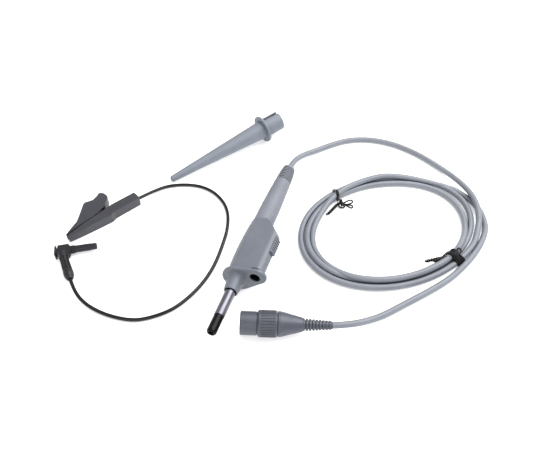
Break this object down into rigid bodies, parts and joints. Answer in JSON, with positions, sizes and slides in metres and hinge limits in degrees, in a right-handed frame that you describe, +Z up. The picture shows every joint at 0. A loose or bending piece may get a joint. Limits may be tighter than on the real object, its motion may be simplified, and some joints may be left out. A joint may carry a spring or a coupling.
{
  "type": "oscilloscope probe set",
  "caption": "Passive oscilloscope probe with coiled lead and BNC plug, slide switch, removable spring hook tip, and ground lead with crocodile clip and right-angle plug.",
  "frame": {"origin": "centre of the bottom of the box round the probe, hook tip and clip, on the surface they lie on", "axes": "+Z up from the surface, probe axis along Y with its tip towards -Y, +X to the side of the coiled lead"},
  "size_m": [0.2951, 0.2337, 0.0242],
  "materials": {
    "housing_grey": "fine satin moulding",
    "handle_grey": "fine satin moulding",
    "plated_metal": "nickel plated",
    "tip_black": "smooth",
    "contact_gold": "gold plated",
    "brass": "drawn",
    "component_body": "lacquered",
    "board_green": "solder mask",
    "white_insulator": "machined",
    "switch_grey": "ridged",
    "spring_steel": "bright",
    "bnc_blue_grey": "fine satin moulding",
    "cable_jacket": "smooth vinyl",
    "tie_black": "plastic over wire",
    "hook_grey": "fine satin moulding",
    "hook_core_plastic": "smooth",
    "clip_vinyl": "soft vinyl",
    "wire_jacket": "soft vinyl",
    "plug_charcoal": "fine satin moulding"
  },
  "bodies": {
    "probe_and_cable": {"finger_guard": "housing_grey", "barrel": "plated_metal", "tip_insulator": "tip_black", "contact_needle": "contact_gold", "tip_network": "component_body", "signal_lead": "contact_gold", "shield_tube": "brass", "switch_housing": "housing_grey", "handle_tube": "handle_grey", "strain_relief": "handle_grey", "cable_clamp": "plated_metal", "cable_tail": "cable_jacket", "cable_core": "contact_gold", "circuit_board": "board_green", "switch_frame": "white_insulator", "ground_contact_tube": "plated_metal", "socket_bush": "tip_black", "ground_strap": "contact_gold", "cable_probe_end": "cable_jacket", "cable_coil": "cable_jacket", "cable_plug_end": "cable_jacket", "twist_tie_left": "tie_black", "twist_tie_right": "tie_black", "bnc_outer_contact": "plated_metal", "bnc_dielectric": "white_insulator", "bnc_centre_pin": "contact_gold", "bnc_core": "plated_metal", "bnc_spring_washer": "spring_steel", "bnc_rear_cover": "bnc_blue_grey", "bnc_ferrule": "plated_metal", "compensation_board": "board_green", "trimmer_capacitor": "component_body", "bnc_strain_relief": "bnc_blue_grey", "cable_plug_tail": "cable_jacket"},
    "attenuation_switch": {"switch_knob": "switch_grey", "switch_wiper": "contact_gold"},
    "bnc_coupling": {"bnc_barrel": "bnc_blue_grey", "bnc_grip": "bnc_blue_grey", "bnc_bayonet_ring": "plated_metal"},
    "hook_core": {"hook_carrier": "hook_core_plastic", "hook_socket_contact": "contact_gold", "hook_wire": "spring_steel", "hook_spring": "spring_steel"},
    "hook_sleeve": {"hook_cone": "hook_grey", "hook_grip": "hook_grey"},
    "ground_lead": {"clip_lower_cover": "clip_vinyl", "clip_lower_jaw": "plated_metal", "clip_pivot_pin": "plated_metal", "clip_spring": "spring_steel", "wire_crimp": "plated_metal", "wire_tail": "wire_jacket", "ground_wire": "wire_jacket", "plug_elbow": "plug_charcoal", "plug_leg": "plug_charcoal", "plug_collar": "plug_charcoal", "plug_sleeve": "plug_charcoal", "plug_contact": "plated_metal"},
    "clip_lever": {"clip_upper_cover": "clip_vinyl", "clip_upper_jaw": "plated_metal"}
  },
  "joints": [
    {"name": "attenuation_slide", "type": "slide", "parent": "probe_and_cable", "child": "attenuation_switch", "axis": [0, -0.9992, 0.0401], "range_m": [-0.0015, 0.0015]},
    {"name": "bnc_turn", "type": "hinge", "parent": "probe_and_cable", "child": "bnc_coupling", "pos_m": [0.08304, -0.09114, 0.00896], "axis": [-0.9532, -0.3009, 0.0283], "continuous": true},
    {"name": "hook_lift", "type": "slide", "parent": "probe_and_cable", "child": "hook_core", "axis": [0, 0, 1], "range_m": [0, 0.08]},
    {"name": "hook_pull", "type": "slide", "parent": "hook_core", "child": "hook_sleeve", "axis": [0.5861, 0.8037, 0.1027], "range_m": [0, 0.007], "stiffness_N_per_m": 150, "springref_m": -0.006},
    {"name": "lead_lift", "type": "slide", "parent": "probe_and_cable", "child": "ground_lead", "axis": [0, 0, 1], "range_m": [0, 0.08]},
    {"name": "clip_open", "type": "hinge", "parent": "ground_lead", "child": "clip_lever", "pos_m": [-0.0613, -0.03702, 0.0037], "axis": [0, 0, -1], "range_deg": [0, 22], "stiffness_Nm_per_rad": 0.05, "springref_deg": -34.38}
  ]
}
